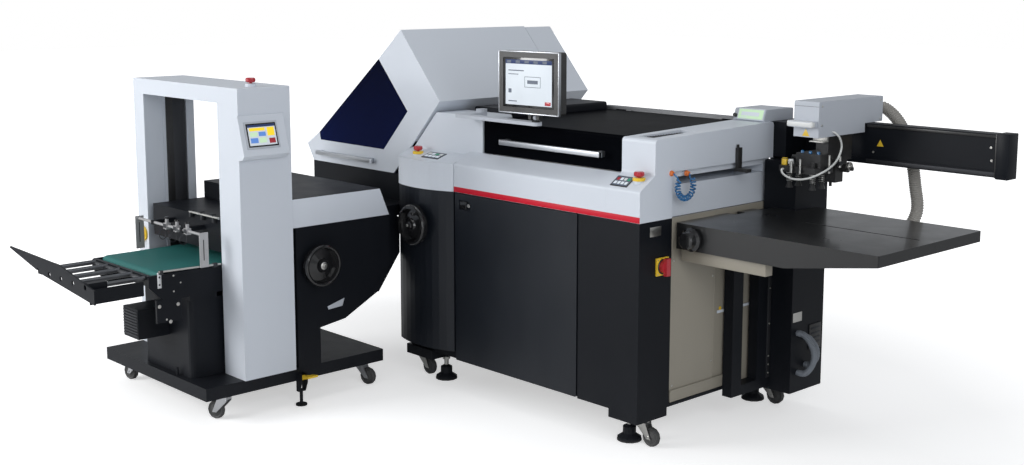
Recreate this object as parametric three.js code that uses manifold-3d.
// Floor-standing paper folding machine: a cabinet with a buckle folding unit under a smoked cover, a
// cross-fold unit under a large hood, a suction feeder with a lifting table, and a press stacker that
// stands on its own wheeled plate and is docked under the cross-fold unit.
// Millimetres, +Z up. While it is built, x = 0 is the cabinet's feeder end, y = 0 its front panel and
// z = 0 the floor; the last lines move the whole machine so that the origin is under its middle.

import * as THREE from 'three';
import { mergeVertices } from 'three/addons/utils/BufferGeometryUtils.js';
import Module from 'manifold-3d';

const wasm = await Module();
wasm.setup();

// Driving dimensions that several pieces share

const seat = 0.3;              // gap between two pieces that rest on each other
const play = 0.6;              // gap round a piece that slides or turns
const overrun = 6;             // how far a cut runs past the faces
const weld = 0.001;
const cornerSteps = 3;
const barRoundShare = 0.45;    // edge radius of a flat bar handle, as a share of its thickness

const cabinet = {
  left: -1360, right: 0, front: 0, back: 935, bottom: 136, top: 865,
  wall: 24, floor: 20, skin: 20, post: 181, bodyStart: -1041, sideStep: 12,
  fixedPanel: 310, gap: 8, columnDepth: 200, columnRise: 36,
};
cabinet.columnFloor = cabinet.bottom + cabinet.columnRise;

const ledge = { rise: 117, slope: 46, depth: 90, nose: 12 };
ledge.top = cabinet.top + ledge.rise;
ledge.height = ledge.top + ledge.slope;
const ledgeAt = y => ledge.top + ledge.slope * y / ledge.depth;

const bracket = { drop: 36, overhang: 18, length: 150, depth: 171, inset: 6, rear: 155 };
const casterHeight = cabinet.bottom - bracket.drop;

// Smoked cover, and what stands level with its top
const cover = {
  left: -950, right: -168, front: 92, back: 842, rise: 140, sheet: 6, bend: 10,
  handle: { from: -822, to: -247, drop: 78, height: 22, reach: 42, bar: 12, post: 26 },
};
cover.top = ledge.height + cover.rise;
const aboveCover = 12;

// Cross-fold unit: its base's top, and the side view of the hood in (x, height above that top)
const cross = {
  front: 80, back: 1000, left: -2182, right: -1430, topRise: 19, height: 122, trayFloor: 38, rim: 30,
  trayEnd: -1560, plate: 12, sideRise: 116, round: 30,
};
cross.top = cabinet.top + cross.topRise;
cross.bottom = cross.top - cross.height;
cross.tray = cross.bottom + cross.trayFloor;
const hoodSide = {
  ridge: [-1490, 645], brow: [-1654, 511], eave: [-2129, 142], lip: [-2233, 78],
  heel: [-2182, seat], toe: [-1553, seat], hip: [-1225, 345],
};
const windowSide = [hoodSide.brow, [-1448, 286], [-1625, 101], [-2121, 104], hoodSide.eave];
const overCross = ([x, rise]) => [x, cross.top + rise];
const hoodOutline = Object.values(hoodSide).map(overCross);
const windowShape = windowSide.map(overCross);
function hoodUnderside(z) {
  const [foot, hip] = [overCross(hoodSide.toe), overCross(hoodSide.hip)];
  return foot[0] + (z - foot[1]) * (hip[0] - foot[0]) / (hip[1] - foot[1]);
}

// Solids from three.js geometry, and back

function solid(geometry) {
  const bare = geometry.clone();
  bare.deleteAttribute('normal');
  bare.deleteAttribute('uv');
  const merged = mergeVertices(bare, weld);
  const corners = merged.index.array;
  const kept = [];
  for (let i = 0; i < corners.length; i += 3) {
    const [a, b, c] = [corners[i], corners[i + 1], corners[i + 2]];
    if (a !== b && b !== c && c !== a) kept.push(a, b, c);
  }
  const at = merged.attributes.position;
  const [p, q, r] = [new THREE.Vector3(), new THREE.Vector3(), new THREE.Vector3()];
  let volume = 0;
  for (let i = 0; i < kept.length; i += 3) {
    p.fromBufferAttribute(at, kept[i]);
    q.fromBufferAttribute(at, kept[i + 1]);
    r.fromBufferAttribute(at, kept[i + 2]);
    volume += p.dot(q.cross(r));
  }
  if (volume < 0) kept.reverse();
  return new wasm.Manifold(new wasm.Mesh({
    numProp: 3, vertProperties: new Float32Array(at.array), triVerts: new Uint32Array(kept),
  }));
}

function geometryOf(body) {
  const mesh = body.getMesh();
  const geometry = new THREE.BufferGeometry();
  geometry.setAttribute('position', new THREE.BufferAttribute(new Float32Array(mesh.vertProperties), 3));
  geometry.setIndex(new THREE.BufferAttribute(new Uint32Array(mesh.triVerts), 1));
  geometry.computeVertexNormals();
  return geometry;
}

const join = (...bodies) => bodies.reduce((whole, body) => whole.add(body));
const cut = (body, ...tools) => tools.reduce((whole, tool) => whole.subtract(tool), body);

// Shapes

const axes = {
  x: new THREE.Matrix4().makeBasis(
    new THREE.Vector3(0, 1, 0), new THREE.Vector3(0, 0, 1), new THREE.Vector3(1, 0, 0)),
  y: new THREE.Matrix4().makeBasis(
    new THREE.Vector3(1, 0, 0), new THREE.Vector3(0, 0, 1), new THREE.Vector3(0, -1, 0)),
  z: new THREE.Matrix4(),
};

// Outline corners are [u, v] or [u, v, radius]; a radius rounds the corner with an arc.
function rounded(corners, steps = cornerSteps) {
  const points = [];
  corners.forEach(([u, v, radius = 0], i) => {
    const here = new THREE.Vector2(u, v);
    if (radius === 0) {
      points.push(here);
      return;
    }
    const last = corners.at(i - 1);
    const next = corners[(i + 1) % corners.length];
    const back = new THREE.Vector2(last[0], last[1]).sub(here).normalize();
    const ahead = new THREE.Vector2(next[0], next[1]).sub(here).normalize();
    const half = Math.acos(THREE.MathUtils.clamp(back.dot(ahead), -1, 1)) / 2;
    const centre = back.clone().add(ahead).normalize().multiplyScalar(radius / Math.sin(half)).add(here);
    const reach = radius / Math.tan(half);
    const start = here.clone().addScaledVector(back, reach).sub(centre);
    const end = here.clone().addScaledVector(ahead, reach).sub(centre);
    const sweep = Math.atan2(start.x * end.y - start.y * end.x, start.dot(end));
    for (let k = 0; k <= steps; k++) {
      points.push(start.clone().rotateAround(new THREE.Vector2(), sweep * k / steps).add(centre));
    }
  });
  return points;
}

// A prism along x has its outline in (y, z), along y in (x, z), along z in (x, y).
function prism(corners, axis, from, to) {
  const shape = new THREE.Shape(rounded(corners));
  const geometry = new THREE.ExtrudeGeometry(shape, { depth: to - from, bevelEnabled: false, steps: 1 });
  geometry.applyMatrix4(axes[axis]);
  if (axis === 'x') geometry.translate(from, 0, 0);
  if (axis === 'y') geometry.translate(0, to, 0);
  if (axis === 'z') geometry.translate(0, 0, from);
  return solid(geometry);
}

function block(low, high) {
  const size = high.map((value, i) => value - low[i]);
  const geometry = new THREE.BoxGeometry(...size);
  geometry.translate(...high.map((value, i) => (value + low[i]) / 2));
  return solid(geometry);
}

const rectangle = (u0, v0, u1, v1, radius = 0) =>
  [[u0, v0, radius], [u1, v0, radius], [u1, v1, radius], [u0, v1, radius]];

// Turns a shape made round the y axis to lie along x, y or z, and moves it to its place across it.
function lay(geometry, axis, [a, b]) {
  if (axis === 'x') geometry.rotateZ(-Math.PI / 2).translate(0, a, b);
  if (axis === 'y') geometry.translate(a, 0, b);
  if (axis === 'z') geometry.rotateX(Math.PI / 2).translate(a, b, 0);
  return solid(geometry);
}

function rod(axis, radius, from, to, across, sides = 14) {
  const geometry = new THREE.CylinderGeometry(radius, radius, to - from, sides);
  geometry.translate(0, (from + to) / 2, 0);
  return lay(geometry, axis, across);
}

// A turned piece: its profile is [radius, distance along the axis], and starts and ends on the axis.
function turned(profile, axis, across, sides = 16) {
  const points = profile.map(([radius, along]) => new THREE.Vector2(radius, along));
  return lay(new THREE.LatheGeometry(points, sides), axis, across);
}

// An arc from one plan point to another that bows out by rise.
function bow([u0, v0], [u1, v1], rise, steps) {
  const chord = Math.hypot(u1 - u0, v1 - v0);
  const radius = chord * chord / (8 * rise) + rise / 2;
  const half = Math.asin(chord / 2 / radius);
  const [du, dv] = [(u1 - u0) / chord, (v1 - v0) / chord];
  return Array.from({ length: steps + 1 }, (_, k) => {
    const angle = half * (2 * k / steps - 1);
    const along = chord / 2 + radius * Math.sin(angle);
    const out = radius * Math.cos(angle) - radius * Math.cos(half);
    return [u0 + du * along + dv * out, v0 + dv * along - du * out];
  });
}

// A round tube along route points; a bore makes it a hose with open ends.
function tube(points, radius, steps, sides, bore = 0) {
  const curve = new THREE.CatmullRomCurve3(points.map(place => new THREE.Vector3(...place)));
  const ring = r => new THREE.Shape(Array.from({ length: sides }, (_, k) =>
    new THREE.Vector2(r * Math.cos(2 * Math.PI * k / sides), r * Math.sin(2 * Math.PI * k / sides))));
  const sweep = r => solid(new THREE.ExtrudeGeometry(ring(r), {
    steps, extrudePath: curve, bevelEnabled: false,
  }));
  return bore ? cut(sweep(radius), sweep(bore)) : sweep(radius);
}

// Finishes

const finish = (color, roughness, metalness) => new THREE.MeshStandardMaterial({ color, roughness,
  metalness });
const lightPaint = finish(0xd9dee6, 0.45, 0.0);
const greyPaint = finish(0xa9b0ba, 0.45, 0.0);
const blackPaint = finish(0x16191d, 0.5, 0.1);
const darkPanel = finish(0x1b1f24, 0.4, 0.1);
const beigePaint = finish(0xa79f90, 0.55, 0.0);
const tableGrey = finish(0x3a3c3f, 0.35, 0.4);
const smoke = finish(0x101215, 0.08, 0.0);
const blueTint = finish(0x05081c, 0.06, 0.0);
const steel = finish(0xb6b9bd, 0.3, 0.9);
const castAlloy = finish(0x85888c, 0.5, 0.6);
const blackPlastic = finish(0x141416, 0.45, 0.0);
const yellowPlastic = finish(0xe3b71a, 0.45, 0.0);
const redPlastic = finish(0xc8102e, 0.35, 0.0);
const wheelRubber = finish(0x2a2a2c, 0.8, 0.0);
const beltTeal = finish(0x0c5a58, 0.7, 0.0);
const hoseGrey = finish(0x7d8085, 0.6, 0.0);
const airBlue = finish(0x0d5aa6, 0.35, 0.0);
const tubeWhite = finish(0xe4e4e0, 0.3, 0.0);

const machine = new THREE.Group();

function piece(name, body, material) {
  const mesh = new THREE.Mesh(geometryOf(body), material);
  mesh.name = name;
  machine.add(mesh);
  return mesh;
}

// Cabinet: a steel box on four brackets, with its levelling feet screwed into them

// Each foot stands so far in from its bracket's inner end and from the cabinet's front or back
const leveller = {
  pad: 47, padEdge: 14, hub: 26, hubTop: 55, stem: 9, sides: 12,
  frontRight: [37, 86], backRight: [46, 86], frontLeft: [1, 94], backLeft: [1, 86],
};
const bracketEnds = [cabinet.right - bracket.length, cabinet.left + bracket.length];
leveller.places = [
  [bracketEnds[0] + leveller.frontRight[0], cabinet.front + leveller.frontRight[1]],
  [bracketEnds[0] + leveller.backRight[0], cabinet.back - leveller.backRight[1]],
  [bracketEnds[1] + leveller.frontLeft[0], cabinet.front + leveller.frontLeft[1]],
  [bracketEnds[1] + leveller.backLeft[0], cabinet.back - leveller.backLeft[1]],
];

function levellingFoot(place) {
  const { pad, padEdge, hub, hubTop, stem } = leveller;
  return turned([
    [0, 0], [pad, 0], [pad, padEdge], [hub, 2 * padEdge], [hub, hubTop],
    [stem, hubTop + stem], [stem, casterHeight + overrun], [0, casterHeight + overrun],
  ], 'z', place, leveller.sides);
}

function cabinetBody() {
  const c = cabinet;
  const frontWall = c.front + c.skin + seat;
  const outside = join(
    block([c.bodyStart, frontWall, c.bottom], [c.right, c.back, c.top]),
    block([c.left, c.columnDepth + seat, c.bottom], [c.bodyStart + overrun, c.back, c.top]),
    block([c.left, frontWall, c.bottom], [c.bodyStart + overrun, c.columnDepth + overrun,
      c.columnFloor - seat]),
    block([-c.fixedPanel, c.front, c.bottom], [c.right, frontWall + overrun, c.top]),
  );
  const inside = block(
    [c.bodyStart + c.wall, frontWall + c.wall, c.bottom + c.floor],
    [c.right - c.wall - c.sideStep, c.back - c.wall, c.top - c.floor]);
  const doorway = block(
    [c.bodyStart + c.wall, c.front - overrun, c.bottom + c.floor],
    [-c.fixedPanel - c.gap - c.wall, frontWall + c.wall + overrun, c.top - c.floor]);
  const sideRecess = block(
    [c.right - c.sideStep, c.post, c.bottom + c.sideStep],
    [c.right + overrun, c.back + overrun, c.top + overrun]);
  return cut(outside, inside, doorway, sideRecess);
}

function cornerBrackets() {
  const c = cabinet;
  const b = bracket;
  const [low, high] = [c.bottom - b.drop, c.bottom + overrun];
  const spans = [];
  for (const [from, to] of [[c.front + b.inset, b.depth + b.inset], [c.back - b.rear, c.back - b.inset]]) {
    spans.push(block([c.right - b.length, from, low], [c.right - b.inset, to, high]));
    spans.push(block([c.left - b.overhang, from, low], [c.left + b.length + b.inset, to, high]));
  }
  return join(...spans);
}

// Light cap over the column, with the dark cable box that stands behind it on the cabinet
const cap = {
  grow: 2, frontRise: 119, deckRise: 149, blockRight: -959, blockBack: 260, slopeGap: 13, edge: 14,
};
cap.bottom = cabinet.top + seat;
cap.deckFront = cabinet.top + cap.frontRise;
cap.deck = cabinet.top + cap.deckRise;
cap.blockTop = cover.top + aboveCover;
const deckAt = y => cap.deckFront + (cap.deck - cap.deckFront) * y / ledge.depth;
const cableBox = { left: -1200, right: -962, back: 850, lift: 20, edge: 10 };

const mainSwitch = { y: 124, z: 691, plate: 66, boss: 8, radius: 18, depth: 26, grip: 11 };

piece('main_cabinet', join(
  cabinetBody(), cornerBrackets(), ...leveller.places.map(levellingFoot),
  block([-overrun, mainSwitch.y - mainSwitch.plate / 2, mainSwitch.z - mainSwitch.plate / 2],
    [mainSwitch.boss, mainSwitch.y + mainSwitch.plate / 2, mainSwitch.z + mainSwitch.plate / 2]),
  prism([
    [cableBox.left, cabinet.top - overrun], [cableBox.right, cabinet.top - overrun],
    [cableBox.right, cap.blockTop + cableBox.lift, cableBox.edge],
    [cableBox.left, cap.blockTop + cableBox.lift, cableBox.edge],
  ], 'y', cap.blockBack + seat, cableBox.back),
), blackPaint);

// Doors and panels of the cabinet

const door = {
  sideGap: 7, edgeGap: 3, corner: 6, pull: [62, 47], pullSize: [70, 40], pullDepth: 9,
};

function serviceDoor() {
  const d = door;
  const [left, right] = [cabinet.bodyStart + d.sideGap, -cabinet.fixedPanel - cabinet.gap];
  const [bottom, top] = [cabinet.bottom + d.edgeGap, cabinet.top - d.edgeGap];
  const slab = prism(rectangle(left, bottom, right, top, d.corner), 'y', cabinet.front, cabinet.skin);
  const [x, z] = [left + d.pull[0], top - d.pull[1]];
  const [w, h] = d.pullSize.map(size => size / 2);
  const pocket = block([x - w, -overrun, z - h], [x + w, d.pullDepth, z + h]);
  const paddle = prism(rectangle(x - w + d.corner, z - h + d.corner, x + h / 2, z + h - d.corner, d.corner),
    'y', 0, d.pullDepth + seat);
  return join(cut(slab, pocket), paddle);
}

piece('service_door', serviceDoor(), darkPanel);

const endWall = { face: -2, seam: 440, lip: 14, kick: 196, lower: 149 };
endWall.back = -cabinet.sideStep + seat;

function endWallPanel() {
  const e = endWall;
  const [from, to] = [cabinet.post + seat, cabinet.back - e.lip];
  const sheet = block([e.back, from, e.lower], [(e.back + e.face) / 2, to, cabinet.top]);
  const front = block([e.back, from, e.kick], [e.face, e.seam, cabinet.top]);
  const rear = block([e.back, e.seam + e.lip, e.kick], [e.face - e.lip / 4, to, cabinet.top]);
  return join(sheet, front, rear);
}

piece('end_wall_panel', endWallPanel(), beigePaint);

// Bowed column on the left of the door

const column = { rightGap: 3, overhang: 65, toe: [30, 12], sideStart: 75, rise: 38, sideRise: 9 };
column.right = cabinet.bodyStart - column.rightGap;
column.left = cabinet.left - column.overhang;
column.frontLeft = [column.left + column.toe[0], cabinet.front - column.toe[1]];

const handwheel = {
  place: [-1224, 710], front: -94, radius: 87, shaft: 9, reach: 26, depth: 34, face: -54, sides: 20,
};

function columnPlan(grow) {
  const c = column;
  const [x, y] = c.frontLeft;
  return [
    ...bow([c.left - grow, c.sideStart], [x - grow, y - grow], c.sideRise, 4),
    ...bow([x - grow, y - grow], [c.right, -grow], c.rise, 10).slice(1),
    [c.right, cabinet.columnDepth], [c.left - grow, cabinet.columnDepth],
  ];
}

piece('column_cover', cut(
  prism(columnPlan(0), 'z', cabinet.columnFloor, cabinet.top),
  rod('y', handwheel.shaft + play, -column.rise * 2, handwheel.reach, handwheel.place),
), darkPanel);

const stopButton = {
  boss: 22, bossHeight: 12, stem: 7, head: 20, headHeight: 18, travel: 4, reach: 14, sides: 12,
};
const stopLift = { left: 10.7, right: 18.4 };
const stopPlan = { left: [-1327, 40], right: [-50, 50] };
const leftStop = [...stopPlan.left, deckAt(stopPlan.left[1]) + stopLift.left];
const rightStop = [...stopPlan.right, ledgeAt(stopPlan.right[1]) + stopLift.right];

function stopBoss([x, y, top], depth) {
  return rod('z', stopButton.boss, top - stopButton.bossHeight - depth, top, [x, y]);
}
function stopBore([x, y, top]) {
  return rod('z', stopButton.stem + play, top - stopButton.reach - stopButton.travel - overrun,
    top + overrun, [x, y]);
}

function columnCap() {
  const k = cap;
  const deck = prism([
    [-column.rise * 2, k.bottom], [-column.rise * 2, k.deckFront], [0, k.deckFront],
    [ledge.depth, k.deck], [cabinet.columnDepth, k.deck], [cabinet.columnDepth, k.bottom],
  ], 'x', column.left - column.rise, column.right + overrun);
  const lower = prism(columnPlan(k.grow), 'z', k.bottom, k.deck + overrun).intersect(deck);
  const [foot, head] = [k.deck, k.blockTop].map(z => hoodUnderside(z) + k.slopeGap);
  const upper = prism([
    [foot, k.bottom], [k.blockRight, k.bottom], [k.blockRight, k.blockTop, k.edge],
    [head, k.blockTop, k.edge], [foot, k.deck],
  ], 'y', ledge.depth + seat, k.blockBack);
  return cut(join(lower, upper, stopBoss(leftStop, stopButton.bossHeight)), stopBore(leftStop));
}

piece('column_cap', columnCap(), lightPaint);

// Light fascia with its sloping ledge, and the housing over the register at the feeder end

const housing = {
  left: -165, right: 0, step: 82, stepRise: 6, frontRise: 131, backRise: 20, back: 800,
  mouthFrom: 230, mouthTo: 760, mouthRise: 120, mouthHeight: 30, recess: 20, recessRise: 25, round: 14,
  vent: [[-128, 130], [-52, 370]], ventDepth: 12,
};
housing.stepHeight = ledge.height + housing.stepRise;
housing.frontTop = housing.stepHeight + housing.frontRise;
housing.backTop = housing.frontTop + housing.backRise;
housing.mouthLow = cabinet.top + housing.mouthRise;
housing.mouthHigh = housing.mouthLow + housing.mouthHeight;
housing.recessTop = housing.mouthHigh + housing.recessRise;

// Ends of the coiled air hose, and the push-in fittings on the housing that hold them
const coilEnds = { out: 12, from: [172, 5], to: [262, 13], fitting: 6.5, tube: 2.5, sides: 12 };
const coilEnd = ([y, drop]) => [coilEnds.out, y, housing.recessTop - drop];

piece('front_fascia', prism([
  [cabinet.front, cabinet.top + seat], [cabinet.front, ledge.top, ledge.nose],
  [ledge.depth, ledge.height], [ledge.depth, cabinet.top + seat],
], 'x', cabinet.bodyStart + seat, housing.left - seat), lightPaint);

function registerHousing() {
  const h = housing;
  const bottom = cabinet.top + seat;
  const body = prism([
    [cabinet.front, bottom], [cabinet.front, ledge.top, ledge.nose], [h.step, h.stepHeight, h.round],
    [h.step, h.frontTop, h.round], [h.back, h.backTop, h.round], [h.back, bottom],
  ], 'x', h.left, h.right);
  const recess = block([h.right - h.recess, cabinet.post, bottom - overrun],
    [overrun, h.back + overrun, h.recessTop]);
  const mouth = block([h.left - overrun, h.mouthFrom, h.mouthLow], [overrun, h.mouthTo, h.mouthHigh]);
  const [[x0, y0], [x1, y1]] = h.vent;
  const vent = block([x0, y0, h.frontTop - h.ventDepth], [x1, y1, h.backTop + overrun]);
  const fittings = [[coilEnds.from, h.right], [coilEnds.to, h.right - h.recess]].map(([end, face]) => {
    const [x, y, z] = coilEnd(end);
    return rod('x', coilEnds.fitting, face - overrun, x - coilEnds.tube + seat, [y, z], coilEnds.sides);
  });
  return cut(join(cut(body, recess, mouth, vent), ...fittings, stopBoss(rightStop, stopButton.bossHeight)),
    stopBore(rightStop));
}

piece('register_housing', registerHousing(), lightPaint);

// Emergency buttons: a mushroom on a stem that travels down into its boss

function stopMushroom([, , top]) {
  const b = stopButton;
  const under = top + b.travel + play;
  return [
    [0, top - b.reach], [b.stem, top - b.reach], [b.stem, under], [b.head - b.travel, under],
    [b.head, under + b.travel], [b.head, under + b.headHeight - b.travel],
    [b.head - b.travel, under + b.headHeight], [0, under + b.headHeight],
  ];
}

function emergencyButton(name, place) {
  piece(name, turned(stopMushroom(place), 'z', place.slice(0, 2), stopButton.sides), redPlastic);
}

emergencyButton('emergency_button_left', leftStop);
emergencyButton('emergency_button_right', rightStop);

piece('main_switch_knob', join(
  rod('x', mainSwitch.radius + overrun, mainSwitch.boss + seat, mainSwitch.depth,
    [mainSwitch.y, mainSwitch.z]),
  block([mainSwitch.depth - overrun, mainSwitch.y - mainSwitch.grip, mainSwitch.z - mainSwitch.plate / 2],
    [mainSwitch.depth + mainSwitch.grip, mainSwitch.y + mainSwitch.grip,
      mainSwitch.z + mainSwitch.plate / 2]),
), redPlastic);

// Handwheels: a dished rim on a hub, the hub's shaft runs into the housing behind it

const wheelShares = { hub: 0.3, crest: 0.7 };

function wheelProfile(front, radius, shaft, depth, face, end) {
  const rim = depth / 2;
  const hub = radius * wheelShares.hub;
  return [
    [0, front], [hub, front], [hub + rim / 4, front + rim / 2], [radius - rim, front + rim],
    [radius - rim * wheelShares.crest, front], [radius - rim / 4, front], [radius, front + rim / 3],
    [radius, front + depth - rim / 2], [radius - rim / 4, front + depth - rim / 6],
    [hub, front + depth], [hub, face], [shaft, face], [shaft, end], [0, end],
  ];
}

piece('main_handwheel', turned(
  wheelProfile(handwheel.front, handwheel.radius, handwheel.shaft, handwheel.depth, handwheel.face,
    handwheel.reach - play), 'y', handwheel.place, handwheel.sides), blackPlastic);

// Folding unit under the smoked cover: side plates, fold plates, ties and the rear rail in one frame

const unit = {
  left: -930, right: -190, front: 108, back: 804, plate: 12, floor: 8, plateDrop: 60,
  shoulder: 220, crest: 30, slope: 90, round: 30, tie: 9, tieSides: 10,
  ties: [[60, 75], [680, 195], [260, 215]],
  railFront: 860, railBack: 905, railLeft: -1000, railRight: -168,
  foldPlates: [[[-480, 135], [-232, 235]], [[-880, 260], [-620, 155]]], foldPlate: 14,
};
unit.plateTop = cover.top - unit.plateDrop;
const roller = { radius: 26, journal: 10, nip: 2, x: -560, rise: 66, inset: 2, bearing: 0.9, sides: 14 };
roller.z = cabinet.top + roller.rise;
roller.spacing = 2 * roller.radius + roller.nip;
const rollerTilt = Math.PI / 9;
const rollerPlaces = [
  [roller.x, roller.z + roller.spacing], [roller.x, roller.z],
  [roller.x + roller.spacing * Math.cos(rollerTilt), roller.z - roller.spacing * Math.sin(rollerTilt)],
];
const hinge = { y: 850, drop: 3, radius: 6, length: 60, outer: 90, places: [-900, -300], sides: 12 };
hinge.z = cover.top - hinge.drop;

function foldPlate([[xLow, riseLow], [xHigh, riseHigh]]) {
  const [zLow, zHigh] = [cabinet.top + riseLow, cabinet.top + riseHigh];
  const length = Math.hypot(xHigh - xLow, zHigh - zLow);
  const [nx, nz] = [-(zHigh - zLow), xHigh - xLow].map(side => side / length * unit.foldPlate);
  return prism([[xLow, zLow], [xHigh, zHigh], [xHigh + nx, zHigh + nz], [xLow + nx, zLow + nz]],
    'y', unit.front + unit.plate / 2, unit.back - unit.plate / 2);
}

function foldingFrame() {
  const u = unit;
  const bottom = cabinet.top + seat;
  const sideOutline = [[u.left, bottom], [u.right, bottom], [u.right, u.plateTop, u.round],
    [u.left + u.shoulder, u.plateTop + u.crest, u.round], [u.left, u.plateTop - u.slope, u.round]];
  const sides = join(
    prism(sideOutline, 'y', u.front, u.front + u.plate), prism(sideOutline, 'y', u.back - u.plate, u.back));
  const floor = block([u.left, u.front, bottom], [u.right, u.railBack, bottom + u.floor]);
  const rail = block([u.railLeft, u.railFront, bottom], [u.railRight, u.railBack, cover.top + aboveCover]);
  const ties = u.ties.map(([along, rise]) =>
    rod('y', u.tie, u.front, u.back, [u.left + along, cabinet.top + rise], u.tieSides));
  const knuckles = hinge.places.map(x => join(
    rod('x', hinge.radius, x + hinge.length + seat, x + hinge.outer, [hinge.y, hinge.z], hinge.sides),
    block([x + hinge.length + seat, hinge.y, hinge.z - hinge.radius],
      [x + hinge.outer, u.railFront + overrun, hinge.z])));
  const bores = rollerPlaces.map(place =>
    rod('y', roller.journal + roller.bearing, u.front - overrun, u.back + overrun, place, 12));
  return cut(join(sides, floor, rail, ...ties, ...u.foldPlates.map(foldPlate), ...knuckles), ...bores);
}

piece('fold_unit_frame', foldingFrame(), castAlloy);

rollerPlaces.forEach((place, i) => {
  const [from, to] = [unit.front + unit.plate + roller.inset, unit.back - unit.plate - roller.inset];
  const ends = roller.inset + unit.plate + roller.inset;
  piece(`fold_roller_${i + 1}`, turned([
    [0, from - ends], [roller.journal, from - ends], [roller.journal, from], [roller.radius, from],
    [roller.radius, to], [roller.journal, to], [roller.journal, to + ends], [0, to + ends],
  ], 'y', place, roller.sides), steel);
});

// Smoked cover: a bent acrylic sheet with a bar handle, hinged along the rear rail

function smokedCover() {
  const c = cover;
  const bottom = ledge.height + seat + c.sheet / 2;
  const sheet = prism([
    [c.front, bottom], [c.front + c.sheet, bottom], [c.front + c.sheet, c.top - c.sheet],
    [c.back, c.top - c.sheet], [c.back, c.top], [c.front, c.top, c.bend],
  ], 'x', c.left, c.right);
  const h = c.handle;
  const [low, high] = [c.top - h.drop - h.height / 2, c.top - h.drop + h.height / 2];
  const bar = prism(rectangle(h.from, c.front - h.reach, h.to, c.front - h.reach + h.bar,
    h.bar * barRoundShare),
    'z', low, high);
  const posts = [h.from + h.bar, h.to - h.bar - h.post].map(x =>
    block([x, c.front - h.reach + h.bar / 2, low + h.bar / 4],
      [x + h.post, c.front + c.sheet / 2, high - h.bar / 4]));
  const knuckles = hinge.places.map(x => join(
    rod('x', hinge.radius, x, x + hinge.length, [hinge.y, hinge.z], hinge.sides),
    block([x, c.back - c.sheet, c.top - c.sheet], [x + hinge.length, hinge.y, c.top])));
  return join(sheet, bar, ...posts, ...knuckles);
}

piece('smoked_cover', smokedCover(), smoke);

// Drive motor inside the cabinet

const motor = {
  x: -650, rise: 116, radius: 84, from: 300, to: 600, fin: 9, finCount: 4, shaft: 14, foot: 70, sides: 12,
};

function driveMotor() {
  const m = motor;
  const floor = cabinet.bottom + cabinet.floor + seat;
  const z = cabinet.bottom + cabinet.floor + m.rise;
  const pitch = (m.to - m.from) / (2 * m.finCount + 1);
  const profile = [[0, m.from - m.foot], [m.shaft, m.from - m.foot], [m.shaft, m.from]];
  for (let k = 0; k <= 2 * m.finCount; k++) {
    const radius = k % 2 ? m.radius - m.fin : m.radius;
    profile.push([radius, m.from + k * pitch], [radius, m.from + (k + 1) * pitch]);
  }
  profile.push([0, m.to]);
  const feet = [m.from + pitch, m.to - m.foot].map(y =>
    block([m.x - m.radius, y, floor], [m.x + m.radius, y + m.foot - pitch, z - m.radius / 2]));
  return join(turned(profile, 'y', [m.x, z], m.sides), ...feet);
}

piece('drive_motor', driveMotor(), castAlloy);

// Monitor on a swinging arm

const arm = {
  pivot: [-1010, 130], width: 44, thickness: 14, reach: [-563, 18], ball: 13, ballHeight: 32, knob: 24,
};
const armShares = { corner: 0.8, elbow: 0.6 };
const monitor = {
  width: 310, height: 243, depth: 46, lift: 16, lug: 15, turn: 5, back: 14, corner: 10, bezel: 24, recess: 2,
};
const armBottom = cap.blockTop + seat;

function monitorArm() {
  const a = arm;
  const [px, py] = a.pivot;
  const [ex, ey] = a.reach;
  const half = a.width / 2;
  const [corner, elbow] = [half * armShares.corner, half * armShares.elbow];
  const plate = prism([
    [px - half, py + half, corner], [px - half, ey - half, elbow], [ex + half, ey - half, corner],
    [ex + half, ey + half, corner], [px + half, ey + half, overrun], [px + half, py + half, corner],
  ], 'z', armBottom, armBottom + a.thickness);
  const ball = new THREE.SphereGeometry(a.ball, 10, 6);
  ball.translate(ex, ey, armBottom + a.ballHeight);
  return join(plate, solid(ball),
    rod('z', a.ball * armShares.elbow, armBottom, armBottom + a.ballHeight, a.reach, 10),
    rod('z', a.knob, armBottom, armBottom + a.thickness * 2, a.pivot));
}

piece('monitor_arm', monitorArm(), greyPaint);

function monitorBody() {
  const m = monitor;
  const [w, low] = [m.width / 2, m.lift];
  const [front, back] = [-m.depth + m.back - m.lug, m.back - m.lug];
  const shell = prism(rectangle(-w, low, w, low + m.height, m.corner), 'y', front, back);
  const screen = prism(rectangle(-w + m.bezel, low + m.bezel, w - m.bezel, low + m.height - m.bezel,
    m.recess),
    'y', front - overrun, front + m.recess);
  const lugs = [-1, 1].map(side => {
    const near = side * (arm.ball + seat);
    const far = side * (arm.ball + m.lug);
    return block([Math.min(near, far), -m.lug, -m.lug / 2], [Math.max(near, far), m.back / 2, low + overrun]);
  });
  return join(cut(shell, screen), ...lugs);
}

const monitorMesh = piece('monitor', monitorBody(), blackPlastic);
monitorMesh.position.set(...arm.reach, armBottom + arm.ballHeight);
monitorMesh.rotation.z = THREE.MathUtils.degToRad(monitor.turn);

// Cross-fold unit: an open base with its fold plate, the hood, its window and the fixed rear cap

const foldDeck = {
  sideFront: 70, sideBack: 220, topFront: 120, topBack: 260, sides: [90, 562], front: 110, back: 300,
  low: 16, high: 101, thickness: 14, end: -1610,
};
const hood = {
  split: 830, gap: 2, wall: 8, paneDepth: 5.6,
  handle: { from: -2130, to: -1686, rise: 44, height: 20, reach: 30, bar: 11, post: 24 },
};

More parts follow.
